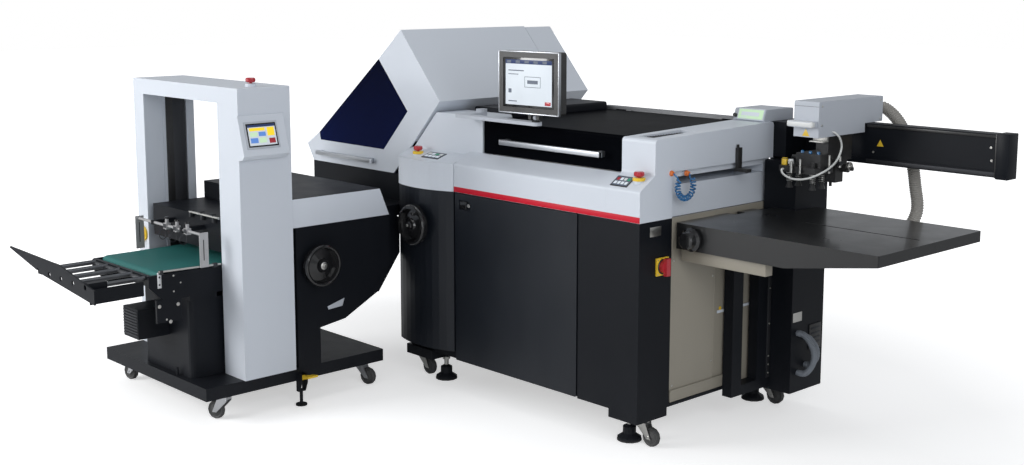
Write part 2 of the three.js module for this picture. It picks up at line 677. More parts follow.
function crossFoldBase() {
  const c = cross;
  const d = foldDeck;
  const tray = cut(
    block([c.left, c.front, c.bottom], [c.right, c.back, c.top]),
    block([c.left + c.rim, c.front + c.rim, c.tray], [c.trayEnd, c.back - c.rim, c.top + overrun]));
  const shoulder = block([c.right - overrun, cap.blockBack + overrun, c.bottom],
    [cabinet.left - seat, cabinet.back, c.top]);
  const sideTop = c.top + c.sideRise;
  const side = [[c.front + d.sideFront, c.tray - overrun], [c.back - d.sideBack, c.tray - overrun],
    [c.back - d.topBack, sideTop, c.round], [c.front + d.topFront, sideTop, c.round]];
  const sides = d.sides.map(along => prism(side, 'x', c.left + along, c.left + along + c.plate));
  const deck = prism([
    [c.front + d.front, c.top + d.low], [c.back - d.back, c.top + d.high],
    [c.back - d.back, c.top + d.high + d.thickness], [c.front + d.front, c.top + d.low + d.thickness],
  ], 'x', c.left + d.sides[0], d.end);
  return join(tray, shoulder, ...sides, deck);
}

piece('cross_fold_base', crossFoldBase(), blackPaint);

// Moves each edge of an outline inwards by its wall and gives the corners where the moved edges meet.
function shrunk(outline, wall) {
  const sense = Math.sign(THREE.ShapeUtils.area(outline.map(([u, v]) => new THREE.Vector2(u, v))));
  const edges = outline.map(([u, v], i) => {
    const [nu, nv] = outline[(i + 1) % outline.length];
    const length = Math.hypot(nu - u, nv - v);
    const [du, dv] = [(nu - u) / length, (nv - v) / length];
    return { u: u - dv * wall * sense, v: v + du * wall * sense, du, dv };
  });
  return edges.map((edge, i) => {
    const last = edges.at(i - 1);
    const turn = last.du * edge.dv - last.dv * edge.du;
    const t = ((edge.u - last.u) * edge.dv - (edge.v - last.v) * edge.du) / turn;
    return [last.u + last.du * t, last.v + last.dv * t];
  });
}

// The sloping strip between eave and brow, from inside the wall to outside it.
function slopeStrip(inner, outer) {
  const [bu, bv] = windowShape[0];
  const [eu, ev] = windowShape.at(-1);
  const length = Math.hypot(bu - eu, bv - ev);
  const [nu, nv] = [-(bv - ev) / length, (bu - eu) / length];
  return [
    [eu + nu * outer, ev + nv * outer], [eu + nu * inner, ev + nv * inner],
    [bu + nu * inner, bv + nv * inner], [bu + nu * outer, bv + nv * outer],
  ];
}

function hoodShell() {
  const h = hood;
  const inner = shrunk(hoodOutline, h.wall);
  inner[4][1] -= 2 * h.wall + overrun;
  inner[5][1] -= 2 * h.wall + overrun;
  const shell = cut(
    prism(hoodOutline, 'y', cross.front, h.split),
    prism(inner, 'y', cross.front + h.wall, h.split + overrun),
    prism(windowShape, 'y', cross.front - overrun, cross.front + h.wall + overrun),
    prism(slopeStrip(-h.wall - overrun, overrun), 'y', cross.front - overrun, h.split - 3 * h.wall));
  const k = h.handle;
  const z = cross.top + k.rise;
  const bar = prism(
    rectangle(k.from, cross.front - k.reach, k.to, cross.front - k.reach + k.bar, k.bar * barRoundShare),
    'z', z - k.height / 2, z + k.height / 2);
  const posts = [k.from + k.bar, k.to - k.bar - k.post].map(x => block(
    [x, cross.front - k.reach + k.bar / 2, z - k.height / 3],
      [x + k.post, cross.front + h.wall / 2, z + k.height / 3]));
  return join(shell, bar, ...posts);
}

piece('hood', hoodShell(), lightPaint);

function hoodWindow() {
  const h = hood;
  const front = prism(shrunk(windowShape, seat), 'y', cross.front + seat * 2, cross.front + h.paneDepth);
  const strip = slopeStrip(-h.paneDepth, -seat);
  const slope = prism(shrunk(strip, seat / 2), 'y', cross.front + seat * 2, h.split - 3 * h.wall - seat);
  return join(front, slope);
}

piece('hood_window', hoodWindow(), blueTint);

const ridgeRound = 12;
const rearCapOutline = hoodOutline.map(([u, v], i) => [u, v, i < 2 ? ridgeRound : 0]);
piece('hood_rear_cap', prism(rearCapOutline, 'y', hood.split + hood.gap, cross.back), lightPaint);

// Feeder: the lifting table rides between the posts of the mast, which carries the rail beam

const beam = {
  from: 40, to: 929, front: 930, back: 990, rise: 172, height: 158, lip: 24, groove: 8, topLip: 12,
  cap: 22, root: { left: -20, right: 60, lift: 8 },
};
beam.bottom = cabinet.top + beam.rise;
beam.top = beam.bottom + beam.height;
const mast = {
  postFrom: 5, postTo: 50, posts: [[500, 562], [662, 725]], bottom: 112, sill: 40, postTop: 838,
  box: [[4, 743], [154, 960]], boxBottom: 100, boxTop: beam.bottom - seat, foot: [800, 925],
};
const table = {
  left: 14, right: 872, front: 190, back: 864, drop: 15, sheet: 5, apron: 98, thin: 40, wall: 5, knee: 500,
  slot: [[330, 535], [815, 545]], notch: 58, boxNotch: 166, boxGap: 8, postGap: 10, corner: 4,
  armFrom: 20, armTo: 406, armFront: 215, armBack: 255, armHeight: 50,
};
table.top = cabinet.top - table.drop;
const tableKnob = { place: [95, 53], radius: 45, depth: 48, step: 4 };
tableKnob.place[1] = table.top - tableKnob.place[1];
const knobShares = { tip: 0.62, shoulder: 0.72, neck: 0.78, back: 0.9 };

function liftMast() {
  const m = mast;
  const posts = m.posts.map(([from, to]) => block([m.postFrom, from, m.bottom], [m.postTo, to, m.postTop]));
  const sill = block([m.postFrom, m.posts[0][0], m.bottom],
    [m.postTo, m.box[0][1] + overrun, m.bottom + m.sill]);
  const strip = block([m.postFrom, m.posts[1][0], m.bottom],
    [m.postTo - overrun, m.box[0][1] + overrun, m.postTop]);
  const [[x0, y0], [x1, y1]] = m.box;
  const box = block([x0, y0, m.boxBottom], [x1, y1, m.boxTop]);
  const foot = block([-bracket.inset + seat, m.foot[0], m.boxBottom],
    [x0 + overrun, m.foot[1], cabinet.bottom]);
  return join(...posts, sill, strip, box, foot);
}

piece('lift_mast', liftMast(), blackPaint);

function feedTable() {
  const t = table;
  const m = mast;
  const [byBox, byPost] = [m.box[0][1] - t.boxGap, m.posts[0][0] - t.postGap];
  const plan = [
    [t.left, t.front, t.corner], [t.right, t.front, t.corner], [t.right, t.back, t.corner],
      [t.boxNotch, t.back],
    [t.boxNotch, byBox], [t.notch, byBox], [t.notch, byPost], [t.left, byPost],
  ];
  const skirt = t.top - t.apron;
  const side = [[t.left, skirt], [t.knee, skirt], [t.right, t.top - t.thin], [t.right, t.top],
    [t.left, t.top]];
  const outside = prism(plan, 'z', skirt, t.top).intersect(prism(side, 'y', t.front - overrun,
    t.back + overrun));
  const hollow = block([t.left - overrun, t.front + t.wall, skirt - overrun],
    [t.right - t.wall, t.back - t.wall, t.top - t.sheet]);
  const [[x0, y0], [x1, y1]] = t.slot;
  const slot = block([x0, y0, t.top - t.sheet - overrun], [x1, y1, t.top + overrun]);
  const middle = skirt - t.apron / 2;
  const carriage = join(
    block([m.postFrom + t.wall, m.posts[0][1] + play, skirt - t.apron],
      [t.notch + t.wall, m.posts[1][0] - play, t.top - t.sheet / 2]),
    block([t.notch, m.posts[0][1] - t.apron, middle],
      [t.notch + t.wall * 2, m.posts[1][0] + t.wall, t.top - t.sheet / 2]));
  const armBar = block([t.armFrom, t.armFront, skirt - t.armHeight], [t.armTo, t.armBack, skirt]);
  const hangers = [t.armFrom + t.armHeight, t.armTo - t.armHeight].map(x =>
    block([x, t.armFront, skirt - overrun], [x + t.wall * 2, t.armBack, t.top - t.sheet / 2]));
  const brace = block([t.notch, t.armBack - t.wall, middle],
    [t.notch + t.wall * 2, m.posts[0][1] - t.apron + overrun, t.top - t.apron / 2]);
  const knobBore = rod('y', handwheel.shaft + play, t.front - overrun, t.front + t.wall + overrun,
    tableKnob.place);
  return cut(join(cut(outside, hollow), carriage, armBar, ...hangers, brace), slot, knobBore);
}

piece('feed_table', feedTable(), tableGrey);

function knobProfile(face, { radius, depth, step }, shaft, end) {
  const shares = knobShares;
  return [
    [0, face - depth], [radius * shares.tip, face - depth], [radius * shares.shoulder, face - depth + step],
    [radius * shares.neck, face - depth / 2], [radius, face - depth / 3], [radius, face - seat - step],
    [radius * shares.back, face - seat], [shaft, face - seat], [shaft, face + end], [0, face + end],
  ];
}

piece('table_knob', turned(
  knobProfile(table.front, tableKnob, handwheel.shaft, table.wall), 'y', tableKnob.place), blackPlastic);

function railBeam() {
  const b = beam;
  const profile = [
    [b.front, b.bottom], [b.front, b.bottom + b.lip], [b.front + b.groove, b.bottom + b.lip],
    [b.front + b.groove, b.top - b.topLip], [b.front, b.top - b.topLip], [b.front, b.top], [b.back, b.top],
      [b.back, b.bottom],
  ];
  const end = block([b.to - b.cap, b.front - b.groove / 2, b.bottom + b.groove],
    [b.to, b.back, b.top - seat]);
  const root = block([b.root.left, housing.back + seat, b.bottom + b.root.lift],
    [b.root.right, b.back, housing.backTop]);
  return join(prism(profile, 'x', b.from, b.to), root, end);
}

piece('rail_beam', railBeam(), blackPaint);

// Small control console on the housing's rear edge and the root of the beam
const consoleBox = { left: -163, right: -8, front: 748, back: 940, height: 47, lean: 14, low: 12, corner: 8,
  brow: 4 };
const roofSlope = (housing.backTop - housing.frontTop) / (housing.back - housing.step);
const roofAt = y => housing.frontTop + (Math.min(y, housing.back) - housing.step) * roofSlope;
const consoleTop = housing.backTop + consoleBox.height;

piece('feeder_console', prism([
  [consoleBox.front, roofAt(consoleBox.front) + seat], [housing.back, housing.backTop + seat],
  [consoleBox.back, housing.backTop + seat], [consoleBox.back, consoleTop, consoleBox.corner],
  [consoleBox.front + consoleBox.lean, consoleTop, consoleBox.brow],
  [consoleBox.front, roofAt(consoleBox.front) + consoleBox.low],
], 'x', consoleBox.left, consoleBox.right), greyPaint);

// Suction head on the beam, with the separator that hangs under it

const head = {
  left: 229, right: 340, front: 610, back: 1045, rise: 100, height: 135, edge: 6, notch: 922,
  grip: { from: 221, to: 334, reach: 36, low: 40, high: 62 },
};
head.top = beam.top + head.rise;
head.bottom = head.top - head.height;

function suctionHead() {
  const h = head;
  const body = prism([
    [h.front, h.bottom], [h.notch, h.bottom], [h.notch, beam.top + seat], [h.back, beam.top + seat],
    [h.back, h.top, h.edge], [h.front, h.top, h.edge],
  ], 'x', h.left, h.right);
  const g = h.grip;
  const grip = prism(rectangle(g.from, h.front - g.reach, g.to, h.front + h.edge, h.edge * 2),
    'z', h.bottom + g.low, h.bottom + g.high);
  return join(body, grip);
}

piece('suction_head', suctionHead(), greyPaint);

// Parts of the separator: x and y spans, and heights below the head
const separator = {
  stem: { x: [270, 325], y: [700, 860], drop: [0, 100] },
  manifold: { x: [215, 325], y: [650, 830], drop: [68, 120] },
  bridge: { x: [160, 325], y: [620, 737], drop: [118, 142] },
  foot: { x: [180, 320], y: [760, 812], drop: [110, 185] },
  bar: { radius: 7, x: [140, 345], y: 735, drop: 96, sides: 8 },
  sideKnob: { radius: 16, x: [320, 352], y: 800, drop: 130, sides: 12 },
  sideStub: { radius: 8, x: [350, 372], y: 800, drop: 130, sides: 8 },
  topKnob: { radius: 12, place: [172, 640], drop: [92, 120], sides: 12 },
  nozzle: { radius: 6, places: [[200, 790], [240, 790], [280, 790]], drop: [180, 205], sides: 8 },
  sucker: {
    stem: 9, cup: 15, neck: 10.5, lip: 12, shoulder: 16, drop: [100, 203], sides: 8,
    places: [[195, 640], [195, 700], [300, 640], [300, 700]],
  },
};

function separatorHead() {
  const s = separator;
  const top = head.bottom - seat;
  const plates = [s.stem, s.manifold, s.bridge, s.foot].map(({ x, y, drop }) =>
    block([x[0], y[0], top - drop[1]], [x[1], y[1], top - drop[0]]));
  const across = [s.bar, s.sideKnob, s.sideStub].map(({ radius, x, y, drop, sides }) =>
    rod('x', radius, x[0], x[1], [y, top - drop], sides));
  const k = s.topKnob;
  const knob = rod('z', k.radius, top - k.drop[1], top - k.drop[0], k.place, k.sides);
  const n = s.nozzle;
  const nozzles = n.places.map(place => rod('z', n.radius, top - n.drop[1], top - n.drop[0], place, n.sides));
  const c = s.sucker;
  const [low, high] = [top - c.drop[1], top - c.drop[0]];
  const suckers = c.places.map(place => turned([
    [0, low], [c.cup, low], [c.neck, low + c.lip], [c.stem, low + c.shoulder], [c.stem, high], [0, high],
  ], 'z', place, c.sides));
  return join(...plates, ...across, knob, ...nozzles, ...suckers);
}

piece('separator_head', separatorHead(), blackPlastic);

// Air hoses

// A ribbed hose: rings of points along a route, ribs outside and a smooth bore inside.
function ribbedHose(points, { radius, bore, pitch, ribDepth }, sides = 8) {
  const boreSteps = 5;
  const curve = new THREE.CatmullRomCurve3(points.map(place => new THREE.Vector3(...place)));
  const count = 2 * Math.round(curve.getLength() / pitch);
  const frames = curve.computeFrenetFrames(count, false);
  const rings = [];
  const ring = (k, r) => {
    const centre = curve.getPointAt(k / count);
    rings.push(Array.from({ length: sides }, (_, i) => {
      const angle = 2 * Math.PI * i / sides;
      return centre.clone()
        .addScaledVector(frames.normals[k], r * Math.cos(angle))
        .addScaledVector(frames.binormals[k], r * Math.sin(angle));
    }));
  };
  for (let k = 0; k <= count; k++) ring(k, k % 2 ? radius - ribDepth : radius);
  for (let k = count; k > 0; k -= 2 * boreSteps) ring(k, bore);
  ring(0, bore);
  const corners = rings.flat().flatMap(place => place.toArray());
  const faces = [];
  rings.forEach((_, k) => {
    const next = (k + 1) % rings.length;
    for (let i = 0; i < sides; i++) {
      const j = (i + 1) % sides;
      const [a, b, c, d] = [k * sides + i, k * sides + j, next * sides + j, next * sides + i];
      faces.push(a, b, c, a, c, d);
    }
  });
  const geometry = new THREE.BufferGeometry();
  geometry.setAttribute('position', new THREE.BufferAttribute(new Float32Array(corners), 3));
  geometry.setIndex(faces);
  return solid(geometry);
}

// The route's own points are chosen by eye; its ends come from the head and the mast's box.
const vacuum = {
  radius: 25, bore: 20, pitch: 14.5, ribDepth: 3, lead: 14, exit: [300, 1245], port: [920, 725],
  route: [
    [322, 1086, 1243], [385, 1095, 1190], [450, 1075, 1080], [492, 1052, 955], [515, 1030, 850],
    [480, 985, 765], [380, 935, 730], [260, 920, 725],
  ],
};
const mastSide = mast.box[1][0] + seat;

piece('suction_hose', ribbedHose([
  [vacuum.exit[0], head.back + seat, vacuum.exit[1]],
    [vacuum.exit[0], head.back + vacuum.lead, vacuum.exit[1]],
  ...vacuum.route, [mastSide + vacuum.lead, ...vacuum.port], [mastSide, ...vacuum.port],
], vacuum), hoseGrey);

const blower = { radius: 13, bore: 10, pitch: 12, ribDepth: 1.6, lead: 8, sag: 4, side: [8, 12, 10] };
const blowerHoses = [
  { y: 785, top: 345, reach: 225, low: 180 },
  { y: 835, top: 322, reach: 205, low: 205 },
];
blowerHoses.forEach(({ y, top, reach, low }, i) => {
  const b = blower;
  const middle = (mastSide + reach) / 2;
  const [near, far, under] = b.side;
  piece(`blower_hose_${i + 1}`, ribbedHose([
    [mastSide, y, top], [mastSide + b.lead, y, top], [middle, y, top - b.sag],
    [reach, y + near, (2 * top + low) / 3], [reach, y + far, (top + 2 * low) / 3],
    [middle, y + under, low + b.sag], [mastSide + b.lead, y + near, low], [mastSide, y + near, low],
  ], b), hoseGrey);
});

const airTube = {
  radius: 4, steps: 28, sides: 6, lead: 6, port: [705, 1176],
  route: [
    [358, 722, 1156], [356, 742, 1116], [354, 712, 1066], [348, 626, 1028], [300, 596, 1004],
    [240, 588, 1000], [190, 600, 1016], [180, 610, 1028], [180, 619.4, 1028],
  ],
};
piece('air_tube', tube([
  [head.right + play, ...airTube.port], [head.right + airTube.lead, ...airTube.port], ...airTube.route,
], airTube.radius, airTube.steps, airTube.sides), tubeWhite);

// Coiled air hose between two fittings: a tube curled round an arc that hangs below them
const coil = {
  radius: coilEnds.tube, curl: 9, mean: 45, centre: [220, 985], x: 30, curlCount: 17, steps: 8, sides: 5,
  from: coilEnd(coilEnds.from), to: coilEnd(coilEnds.to), lead: 0.04,
};
coil.start = Math.atan2(coil.from[2] - coil.centre[1], coil.from[1] - coil.centre[0]);
coil.sweep = Math.atan2(coil.to[2] - coil.centre[1], coil.to[1] - coil.centre[0]) + 2 * Math.PI - coil.start;

class CoilCurve extends THREE.Curve {
  getPoint(t, target = new THREE.Vector3()) {
    const c = coil;
    const swell = Math.min(1, t / c.lead, (1 - t) / c.lead);
    const angle = c.start + c.sweep * t;
    const turn = 2 * Math.PI * c.curlCount * t;
    const endRadius = THREE.MathUtils.lerp(
      Math.hypot(c.from[1] - c.centre[0], c.from[2] - c.centre[1]),
      Math.hypot(c.to[1] - c.centre[0], c.to[2] - c.centre[1]), t);
    const ring = THREE.MathUtils.lerp(endRadius, c.mean, swell) + c.curl * swell * Math.cos(turn);
    return target.set(
      THREE.MathUtils.lerp(c.from[0], c.x, swell) + c.curl * swell * Math.sin(turn),
      c.centre[0] + ring * Math.cos(angle), c.centre[1] + ring * Math.sin(angle));
  }
}

function coiledHose() {
  const curve = new CoilCurve();
  curve.arcLengthDivisions = coil.curlCount * 100;
  const ring = new THREE.Shape(Array.from({ length: coil.sides }, (_, k) => new THREE.Vector2(
    coil.radius * Math.cos(2 * Math.PI * k / coil.sides),
      coil.radius * Math.sin(2 * Math.PI * k / coil.sides))));
  const steps = coil.curlCount * coil.steps;
  const body = solid(new THREE.ExtrudeGeometry(ring, { steps, extrudePath: curve, bevelEnabled: false }));
  const places = curve.getSpacedPoints(steps * 2);
  let least = Infinity;
  places.forEach((a, i) => {
    for (let j = i + coil.steps; j < places.length; j++) least = Math.min(least, a.distanceTo(places[j]));
  });
  console.log('coil least gap', (least - 2 * coil.radius).toFixed(2), 'mm');
  return body;
}

piece('air_coil', coiledHose(), airBlue);

// Press stacker: plate, gantry, press body and delivery

const deck = {
  underHood: 1, width: 846, ahead: 161, depth: 870, bottom: 104, height: 52, lip: 10, skin: 4,
  pad: 36, ribs: [231, 431, 631], pin: { radius: 5, in: [250, 15], height: 34, sides: 8 },
};
deck.left = cross.left + deck.underHood;
deck.right = deck.left + deck.width;
deck.back = cabinet.front - deck.ahead;
deck.front = deck.back - deck.depth;
deck.top = deck.bottom + deck.height;
const gantry = {
  underHood: 11, width: 848, in: 172, depth: 241, height: 1172, header: 65, postLeft: 86, postRight: 154,
  corner: 3, channel: [104, 202], channelDepth: 65, channelFrom: 330, shallow: [8, 89], shallowDepth: 5,
};
gantry.left = cross.left + gantry.underHood;
gantry.right = gantry.left + gantry.width;
gantry.front = deck.front + gantry.in;
gantry.back = gantry.front + gantry.depth;
gantry.foot = deck.top + seat;
gantry.top = deck.top + gantry.height;
gantry.under = gantry.top - gantry.header;
gantry.leftInner = gantry.left + gantry.postLeft;
gantry.rightInner = gantry.right - gantry.postRight;
const stackerStopIn = [70, 105];
const stackerStop = [
  gantry.right - stackerStopIn[0], gantry.front + stackerStopIn[1], gantry.top + stopButton.bossHeight,
];
const stackerSwitch = { in: 43, z: 648, knob: 17, depth: 24, bossEdge: 3, grip: [6, 28], gripDepth: 9 };
stackerSwitch.x = gantry.left + stackerSwitch.in;

function stackerBase() {
  const d = deck;
  const under = d.top - d.skin / 2;
  const box = cut(
    block([d.left, d.front, d.bottom], [d.right, d.back, d.top]),
    block([d.left + d.skin, d.front + d.skin, d.bottom - overrun],
      [d.right - d.skin, d.back - d.skin, d.top - d.skin]));
  const pads = stackerStems.map(([x, y]) =>
    block([x - d.pad, y - d.pad, d.bottom], [x + d.pad, y + d.pad, under]));
  const ribs = d.ribs.map(along =>
    block([d.left + along, d.front + d.skin / 2, d.bottom + d.lip],
      [d.left + along + d.skin, d.back - d.skin / 2, under]));
  const pinPlace = [d.right - d.pin.in[0], d.front + d.pin.in[1]];
  const pin = rod('z', d.pin.radius, under, d.top + d.pin.height, pinPlace, d.pin.sides);
  return join(box, ...pads, ...ribs, pin, lockBracket());
}

// Floor lock: a bracket with its foot on the plate's edge, and a pedal that turns on the bracket's pin
const lock = {
  in: 437, out: 34, width: 34, wall: 6, low: 60, middle: 100, high: 138, shelf: 8,
  foot: 24, footHeight: 7, footPlace: 8, stem: 7, stemFrom: 2, pivot: [23, 120], pin: 5, sides: 12,
  lever: [[0, -6], [44, 8], [44, 18], [0, 8]], tread: [[34, 5], [74, 14], [74, 22], [34, 16]], treadHalf: 24,
};
lock.y = deck.front + lock.in;
lock.root = deck.right - deck.skin / 2;
lock.pivot[0] += deck.right;

function lockBracket() {
  const l = lock;
  const nose = deck.right + l.out / 2;
  const cheeks = [-1, 1].map(side => {
    const [a, b] = [side * l.width / 2, side * (l.width / 2 - l.wall)].sort((p, q) => p - q);
    return prism([[l.root, l.low], [nose, l.low], [deck.right + l.out, l.middle],
      [deck.right + l.out, l.high], [l.root, l.high]], 'y', l.y + a, l.y + b);
  });
  const base = block([l.root, l.y - l.width / 2, l.low], [nose, l.y + l.width / 2, l.low + l.shelf]);
  const place = [deck.right + l.footPlace, l.y];
  const stem = rod('z', l.stem, l.stemFrom, l.low + l.stemFrom, place, l.sides);
  const foot = rod('z', l.foot, 0, l.footHeight, place, l.sides);
  const pin = rod('y', l.pin, l.y - l.width / 2, l.y + l.width / 2, l.pivot, l.sides);
  return join(...cheeks, base, stem, foot, pin);
}

function lockPedal() {
  const l = lock;
  const half = l.width / 2 - l.wall - play;
  const [px, pz] = l.pivot;
  const from = corners => corners.map(([out, up]) => [px + out, pz + up]);
  const hub = rod('y', l.pin * 2, l.y - half, l.y + half, l.pivot, l.sides);
  const lever = prism(from(l.lever), 'y', l.y - half, l.y + half);
  const tread = prism(from(l.tread), 'y', l.y - l.treadHalf, l.y + l.treadHalf);
  return cut(join(hub, lever, tread), rod('y', l.pin + play, l.y - l.width, l.y + l.width, l.pivot, l.sides));
}

function stackerGantry() {
  const g = gantry;
  const portal = prism([
    [g.left, g.foot], [g.left, g.top, g.corner], [g.right, g.top, g.corner], [g.right, g.foot],
      [g.rightInner, g.foot],
    [g.rightInner, g.under], [g.leftInner, g.under], [g.leftInner, g.foot],
  ], 'y', g.front, g.back);
  const [y0, y1] = g.channel.map(along => g.front + along);
  const channel = block([g.leftInner - g.channelDepth, y0, g.channelFrom],
    [g.leftInner + overrun, y1, g.under]);
  const [y2, y3] = g.shallow.map(along => g.front + along);
  const shallow = block([g.leftInner - g.shallowDepth, y2, g.channelFrom],
    [g.leftInner + overrun, y3, g.under]);
  const switchBoss = rod('y', stackerSwitch.knob - stackerSwitch.bossEdge, g.front - mainSwitch.boss,
    g.front + overrun,
    [stackerSwitch.x, stackerSwitch.z]);
  return cut(join(cut(portal, channel, shallow), switchBoss, stopBoss(stackerStop, stopButton.bossHeight)),
    stopBore(stackerStop));
}

// Body of the press: a closed housing with the infeed throat behind and the press unit in front

const press = {
  in: [121, 9], behind: 18, side: [[488, 0], [488, 310], [360, 328], [180, 420], [120, 530], [120, 745],
    [169, 865]],
  infeed: [[130, 395], [11, 555], [10, 711], [130, 790]], infeedIn: [50, 68],
  dockIn: [60, 108], dock: [60, 120, 712], unitIn: 158, unitAhead: 9, unitSpan: [655, 790],
  lowerIn: [291, 174], lowerAhead: 141, lowerTop: 478, lowerRound: 20, wheelDepth: 30, inside: 10,
};
const aheadOfCabinet = ([ahead, height]) => [cabinet.front - ahead, height];
press.left = gantry.left + press.in[0];
press.right = gantry.right - press.in[1];
press.front = gantry.back + press.behind;
press.infeedSpan = [press.left + press.infeedIn[0], press.right - press.infeedIn[1]];
press.unit = [
  [press.left, gantry.front + press.unitAhead, press.unitSpan[0]],
  [press.right - press.unitIn, press.front + press.inside, press.unitSpan[1]],
];
press.lower = [
  [gantry.left + press.lowerIn[0], gantry.front - press.lowerAhead],
  [gantry.right - press.lowerIn[1], press.front + press.inside],
];
const pressWheel = { ahead: 497, z: 582, radius: 87, face: 6, rim: 50, end: 22 };
pressWheel.place = aheadOfCabinet([pressWheel.ahead, pressWheel.z]);
pressWheel.faceAt = -press.right - pressWheel.face;
pressWheel.front = -press.right - pressWheel.rim;
pressWheel.endAt = -press.right + pressWheel.end;
const guideShaft = {
  ahead: 86, z: 742, radius: 6, in: [167, 143], arms: [124, 364], arm: 18, sides: 12,
  plate: { thickness: 5, from: -17, to: 21, low: -130, high: 10 },
  clamps: [234, 318, 402], clamp: { width: 22, half: 11, low: 14, high: 12 },
    knob: { radius: 8, from: 10, to: 30, sides: 6 },
};
guideShaft.y = gantry.front - guideShaft.ahead;
guideShaft.left = gantry.left + guideShaft.in[0];
guideShaft.right = gantry.right - guideShaft.in[1];
const gear = { in: 145, rise: 213, half: 62, ahead: 135 };
gear.place = [press.lower[0][0] + gear.in, deck.top + gear.rise];
gear.front = press.lower[0][1] - gear.ahead;

function stackerBody() {
  const p = press;
  const g = guideShaft;
  const bottom = deck.top + seat;
  const side = p.side.map(aheadOfCabinet).map(([y, z]) => [y, Math.max(z, bottom)]);
  const shell = prism([[p.front, bottom], ...side, [p.front, side.at(-1)[1]]], 'x', p.left, p.right);
  const infeed = prism(p.infeed.map(aheadOfCabinet), 'x', ...p.infeedSpan);
  const [dockAhead, dockBack, dockBottom] = p.dock;
  const dock = block([p.left + p.dockIn[0], cabinet.front - dockAhead, dockBottom],
    [p.right - p.dockIn[1], cabinet.front + dockBack, cross.bottom - seat]);
  const [[x0, y0], [x1, y1]] = p.lower;
  const lower = prism(rectangle(x0, y0, x1, y1, p.lowerRound), 'z', bottom, p.lowerTop);
  const [gx, gz] = gear.place;
  const gearbox = block([gx - gear.half, gear.front, gz - gear.half],
    [gx + gear.half, y0 + overrun, gz + gear.half]);
  const arms = g.arms.map(along => block(
    [g.left + along, g.y - g.arm / 2, g.z - g.arm / 2],
    [g.left + along + g.arm, p.unit[0][1] + overrun, g.z + g.arm / 2]));
  const shaftBore = rod('x', g.radius + play, p.left, p.right, [g.y, g.z], g.sides);
  const wheelBore = rod('x', handwheel.shaft + play, p.right - p.wheelDepth, p.right + overrun,
    pressWheel.place);
  return cut(join(shell, infeed, dock, block(...p.unit), lower, gearbox, ...arms), shaftBore, wheelBore);
}

const delivery = {
  in: [204, 160], ahead: 321, inside: 6, plate: 12, low: 500, top: 606, noseDrop: 46, nose: 60, corner: 10,
  tab: [[30, 413], [137, 505]], floorTo: 300, roll: 19, rollZ: 590, rollIn: [60, 53], belt: 3,
  bed: [[120, -10], [108, 8]], railRadius: 10, railSides: 10, railZ: 596, railIn: 32, railPitch: 105,
  railCount: 5, railLength: 225, crossbar: 16, barHalf: 12, tie: 4,
};
delivery.left = gantry.left + delivery.in[0];
delivery.right = gantry.right - delivery.in[1];
delivery.from = gantry.front - delivery.ahead;
delivery.to = gantry.back + delivery.inside;
delivery.railEnd = delivery.from - delivery.railLength;
delivery.rolls = [delivery.from + delivery.rollIn[0], delivery.to - delivery.rollIn[1]];
delivery.rails = Array.from({ length: delivery.railCount }, (_, k) =>
  delivery.left + delivery.railIn + k * delivery.railPitch);

function deliveryFrame() {
  const d = delivery;
  const inner = [d.left + d.plate, d.right - d.plate];
  const plates = [d.left, inner[1]].map(x => prism([
    [d.from, d.top - d.noseDrop], [d.from + d.nose, d.low], [d.to, d.low], [d.to, d.top],
      [d.from, d.top, d.corner],
  ], 'x', x, x + d.plate));
  const [[t0, t1], [t2, t3]] = d.tab;
  const tab = block([inner[1], d.from + t0, t1], [d.right, d.from + t2, t3]);
  const floor = block([inner[0] - d.plate / 2, press.lower[0][1], press.lowerTop + seat],
    [inner[1] + d.plate / 2, d.from + d.floorTo, d.low + d.plate]);
  const [from, to] = [inner[0] - overrun, inner[1] + overrun];
  const rolls = d.rolls.map(y => rod('x', d.roll, from, to, [y, d.rollZ]));
  const bar = block([from, d.from, d.railZ - d.barHalf], [to, d.from + d.crossbar, d.top]);
  const [[y0, z0], [y1, z1]] = d.bed;
  const bed = block([from, d.from + y0, d.rollZ + z0], [to, d.to - y1, d.rollZ + z1]);
  return join(...plates, tab, floor, ...rolls, bar, bed);
}

function deliveryBelt() {
  const d = delivery;
  const inside = d.roll + play + seat;
  const loop = (r, from, to) => prism([
    [d.rolls[0] - r, d.rollZ - r, r - weld], [d.rolls[1] + r, d.rollZ - r, r - weld],
    [d.rolls[1] + r, d.rollZ + r, r - weld], [d.rolls[0] - r, d.rollZ + r, r - weld],
  ], 'x', from, to);
  return cut(loop(inside + d.belt, d.left + d.plate + play * 2, d.right - d.plate - play * 2),
    loop(inside, d.left, d.right));
}

function deliveryRails() {
  const d = delivery;
  const bars = d.rails.map(x => rod('y', d.railRadius, d.railEnd, d.from - seat, [x, d.railZ], d.railSides));
  const tie = block([d.rails[0], d.from - d.crossbar, d.railZ - d.tie],
    [d.rails.at(-1), d.from - seat, d.railZ + d.tie]);
  return join(...bars, tie);
}

// Stop at the rails' far end: a cranked blade on two sleeves, with a side arm along the frame
const stop = {
  front: 20, back: 13, sleeve: 16, sleeveReach: 62, bore: 70,
  blade: [[-235, 60], [-235, 54], [72, -11], [525, -56], [526, -1], [231, 52], [-112, 58]],
  arm: { gap: 1, thickness: 6, reach: 200, low: 535, high: 592 },
};

